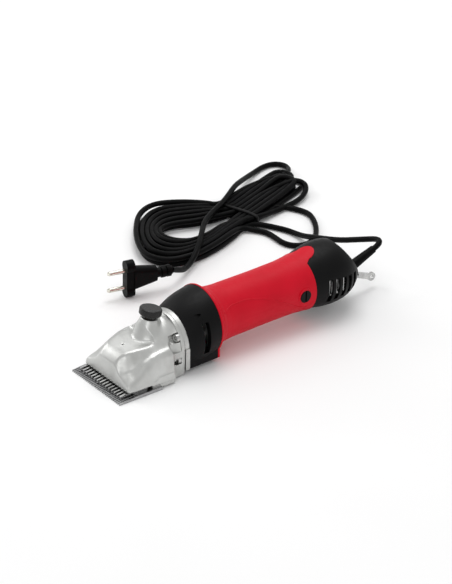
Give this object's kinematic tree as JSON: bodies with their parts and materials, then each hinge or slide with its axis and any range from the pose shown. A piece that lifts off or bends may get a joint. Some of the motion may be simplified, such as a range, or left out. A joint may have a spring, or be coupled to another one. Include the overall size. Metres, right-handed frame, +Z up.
{
  "type": "sheep shears",
  "caption": "Electric sheep shears: cast head with toothed comb and cutter, tension knob, round grip, vented rear housing and a tied hank of mains cord with its plug.",
  "frame": {"origin": "on the surface the tool lies on, under the middle of the tool, cord and plug left out", "axes": "+Z up, +Y from the comb towards the tail, +X to the tool's own left as it lies"},
  "size_m": [0.3168, 0.4488, 0.0717],
  "materials": {
    "cast_aluminium": "satin as-cast, lightly polished",
    "blade_steel": "ground tool steel",
    "steel": "turned, bright",
    "black_plastic": "fine satin texture",
    "red_plastic": "satin gloss",
    "knob_plastic": "knurled, semi-gloss",
    "rubber": "smooth matt",
    "copper": "enamelled copper wire",
    "brass": "drawn",
    "carbon": "pressed carbon",
    "nylon": "moulded",
    "laminations": "stacked sheet",
    "plated_pin": "nickel plated"
  },
  "bodies": {
    "housing": {"head_casting": "cast_aluminium", "comb": "blade_steel", "comb_screws": "steel", "head_screws": "steel", "pivot_post": "steel", "tension_spring": "steel", "cone_bush": "brass", "bearing_outer_rings": "steel", "bearing_balls": "steel", "bearing_plate": "cast_aluminium", "gear_cover": "black_plastic", "motor_bracket": "cast_aluminium", "stator_core": "laminations", "field_coils": "copper", "brush_holders": "brass", "carbon_brushes": "carbon", "brush_springs": "steel", "brush_caps": "black_plastic", "brush_frame": "black_plastic", "grip_shell": "red_plastic", "rear_housing": "black_plastic", "bearing_bridge": "black_plastic", "vent_screens": "steel", "end_cap": "black_plastic", "end_cap_screws": "steel", "switch_frame": "black_plastic", "eye_bracket": "black_plastic", "eye_pin": "steel", "strain_relief": "rubber", "cord_lead": "rubber", "cord_loop": "rubber", "cord_tail": "rubber", "cord_hank": "rubber", "cord_tie": "black_plastic", "plug_body": "rubber", "plug_pins": "plated_pin"},
    "armature": {"armature_shaft": "steel", "armature_core": "laminations", "armature_windings": "copper", "commutator": "copper", "cooling_fan": "nylon", "pinion": "steel", "motor_inner_rings": "steel"},
    "crank": {"crank_shaft": "steel", "drive_wheel": "nylon", "crank_inner_rings": "steel"},
    "roller": {"crank_roller": "steel"},
    "lever": {"drive_lever": "steel", "lever_pins": "steel", "cutter": "steel"},
    "tension_slide": {"tension_collar": "steel"},
    "tension_screw": {"tension_pin": "steel", "tension_knob": "knob_plastic"},
    "rocker": {"switch_rocker": "knob_plastic"},
    "eye": {"hanging_eye": "steel"}
  },
  "joints": [
    {"name": "armature_spin", "type": "hinge", "parent": "housing", "child": "armature", "pos_m": [0, -0.00001, 0.03567], "axis": [0, 0.9998, 0.0175], "continuous": true},
    {"name": "crank_spin", "type": "hinge", "parent": "housing", "child": "crank", "pos_m": [0, -0.07972, 0.01828], "axis": [0, 0.9998, 0.0175], "continuous": true},
    {"name": "roller_spin", "type": "hinge", "parent": "crank", "child": "roller", "pos_m": [0, -0.10174, 0.01909], "axis": [0, 0.9998, 0.0175], "continuous": true},
    {"name": "lever_swing", "type": "hinge", "parent": "housing", "child": "lever", "pos_m": [0, -0.118, 0.0175], "axis": [0, 0, 1], "range_deg": [-4.3, 4.3]},
    {"name": "tension_travel", "type": "slide", "parent": "housing", "child": "tension_slide", "axis": [0, 0.1736, 0.9848], "range_m": [0, 0.002], "deforming": ["tension_spring"]},
    {"name": "knob_turn", "type": "hinge", "parent": "tension_slide", "child": "tension_screw", "pos_m": [0, -0.1153, 0.037], "axis": [0, 0.1736, 0.9848], "range_deg": [0, 720]},
    {"name": "rocker_tilt", "type": "hinge", "parent": "housing", "child": "rocker", "pos_m": [0, 0.12244, 0.05445], "axis": [1, 0, 0], "range_deg": [0, 17]},
    {"name": "eye_swing", "type": "hinge", "parent": "housing", "child": "eye", "pos_m": [0, 0.1455, 0.0216], "axis": [1, 0, 0], "range_deg": [-60, 42]}
  ],
  "couplings": [
    {"joint": "crank_spin", "follows": "armature_spin", "ratio": -0.25},
    {"joint": "tension_travel", "follows": "knob_turn", "m_per_rad": 0.00015915}
  ]
}
